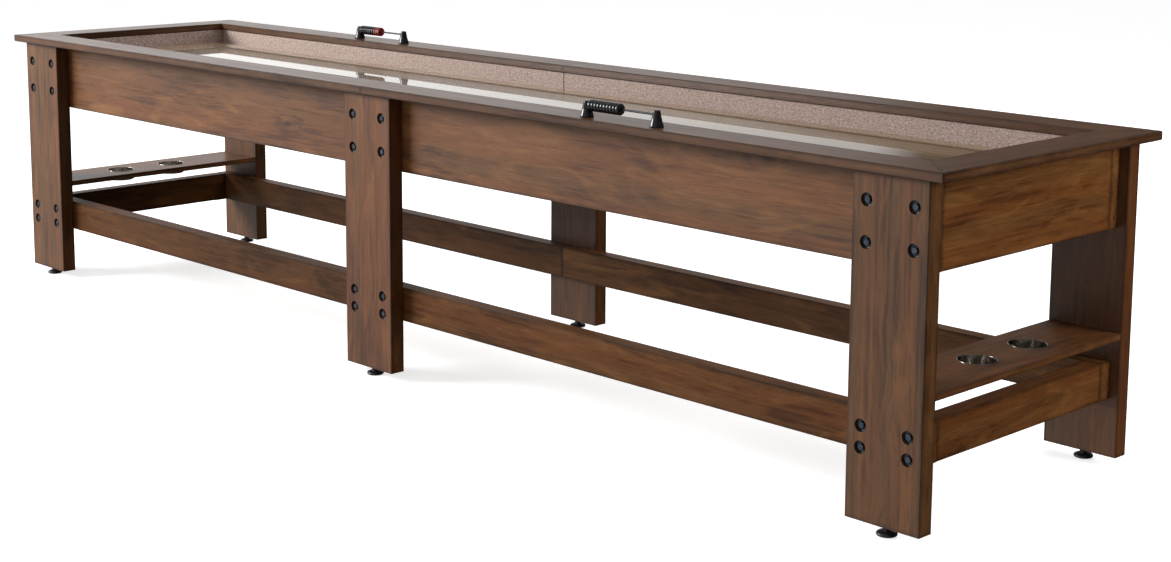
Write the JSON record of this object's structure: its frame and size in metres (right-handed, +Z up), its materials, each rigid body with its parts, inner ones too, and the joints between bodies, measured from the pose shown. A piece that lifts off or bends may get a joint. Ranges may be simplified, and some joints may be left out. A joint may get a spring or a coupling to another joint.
{
  "type": "shuffleboard table",
  "caption": "Long wooden shuffleboard table with a gloss playfield in carpeted gutters, plank legs on levelling feet, end shelves with cup holders and sliding bead scorers.",
  "frame": {"origin": "on the floor under the centre of the table", "axes": "+X along the table towards its right end, +Y across it towards the back, +Z up"},
  "size_m": [3.658, 0.838, 0.821],
  "materials": {
    "stained_wood": "brown stain, open grain, satin",
    "stained_rail_wood": "grey-brown stain, open grain, satin lacquer",
    "gloss_maple": "honey-coloured planks under a thick clear gloss finish",
    "gutter_carpet": "speckled taupe loop carpet",
    "plain_wood": "plain sanded wood",
    "cup_steel": "polished spun steel",
    "black_steel": "black oxide, semi-gloss",
    "blued_steel": "blue-black oxide",
    "zinc_steel": "zinc plated",
    "leveller_black": "black moulded",
    "black_plastic": "gloss black moulded",
    "black_rod": "black painted rod",
    "red_plastic": "gloss dark red moulded"
  },
  "bodies": {
    "root": {"leg_front_left": "stained_wood", "leg_front_middle": "stained_wood", "leg_front_right": "stained_wood", "leg_back_left": "stained_wood", "leg_back_middle": "stained_wood", "leg_back_right": "stained_wood", "apron_front_left": "stained_wood", "apron_front_right": "stained_wood", "apron_back_left": "stained_wood", "apron_back_right": "stained_wood", "apron_end_left": "stained_wood", "apron_end_right": "stained_wood", "stretcher_front_left": "stained_wood", "stretcher_front_right": "stained_wood", "stretcher_back_left": "stained_wood", "stretcher_back_right": "stained_wood", "stretcher_end_left": "stained_wood", "stretcher_end_right": "stained_wood", "shelf_left": "stained_wood", "shelf_right": "stained_wood", "rail_front_left": "stained_rail_wood", "rail_front_right": "stained_rail_wood", "rail_back_left": "stained_rail_wood", "rail_back_right": "stained_rail_wood", "rail_end_left": "stained_rail_wood", "rail_end_right": "stained_rail_wood", "cup_liner_left_front": "cup_steel", "cup_liner_left_back": "cup_steel", "cup_liner_right_front": "cup_steel", "cup_liner_right_back": "cup_steel", "wall_carpet_front": "gutter_carpet", "wall_carpet_back": "gutter_carpet", "wall_carpet_ends": "gutter_carpet", "floor_carpet": "gutter_carpet", "cradle_floor": "plain_wood", "floor_cleats": "plain_wood", "riser_beams": "plain_wood", "shelf_dowels": "plain_wood", "playfield": "gloss_maple", "adjuster_brackets": "black_steel", "corner_brackets": "black_steel", "seam_plates": "black_steel", "adjuster_rods": "zinc_steel", "leg_bolt_inserts": "zinc_steel", "leveller_inserts": "zinc_steel", "scorer_studs": "zinc_steel", "frame_screws": "zinc_steel", "leg_bolts": "blued_steel", "leg_bolt_washers": "black_steel", "scorer_posts": "black_plastic", "scorer_rods": "black_rod"},
    "beads_front": {"beads_front_black": "black_plastic"},
    "beads_back": {"beads_back_black": "black_plastic", "beads_back_red": "red_plastic"},
    "foot_front_left": {"leveller_front_left": "leveller_black"},
    "foot_front_middle": {"leveller_front_middle": "leveller_black"},
    "foot_front_right": {"leveller_front_right": "leveller_black"},
    "foot_back_left": {"leveller_back_left": "leveller_black"},
    "foot_back_middle": {"leveller_back_middle": "leveller_black"},
    "foot_back_right": {"leveller_back_right": "leveller_black"}
  },
  "joints": [
    {"name": "beads_front_slide", "type": "slide", "parent": "root", "child": "beads_front", "axis": [1, 0, 0], "range_m": [0, 0.0979]},
    {"name": "beads_back_slide", "type": "slide", "parent": "root", "child": "beads_back", "axis": [1, 0, 0], "range_m": [0, 0.0979]},
    {"name": "foot_front_left_height", "type": "slide", "parent": "root", "child": "foot_front_left", "axis": [0, 0, 1], "range_m": [-0.012, 0.003]},
    {"name": "foot_front_middle_height", "type": "slide", "parent": "root", "child": "foot_front_middle", "axis": [0, 0, 1], "range_m": [-0.012, 0.003]},
    {"name": "foot_front_right_height", "type": "slide", "parent": "root", "child": "foot_front_right", "axis": [0, 0, 1], "range_m": [-0.012, 0.003]},
    {"name": "foot_back_left_height", "type": "slide", "parent": "root", "child": "foot_back_left", "axis": [0, 0, 1], "range_m": [-0.012, 0.003]},
    {"name": "foot_back_middle_height", "type": "slide", "parent": "root", "child": "foot_back_middle", "axis": [0, 0, 1], "range_m": [-0.012, 0.003]},
    {"name": "foot_back_right_height", "type": "slide", "parent": "root", "child": "foot_back_right", "axis": [0, 0, 1], "range_m": [-0.012, 0.003]}
  ]
}
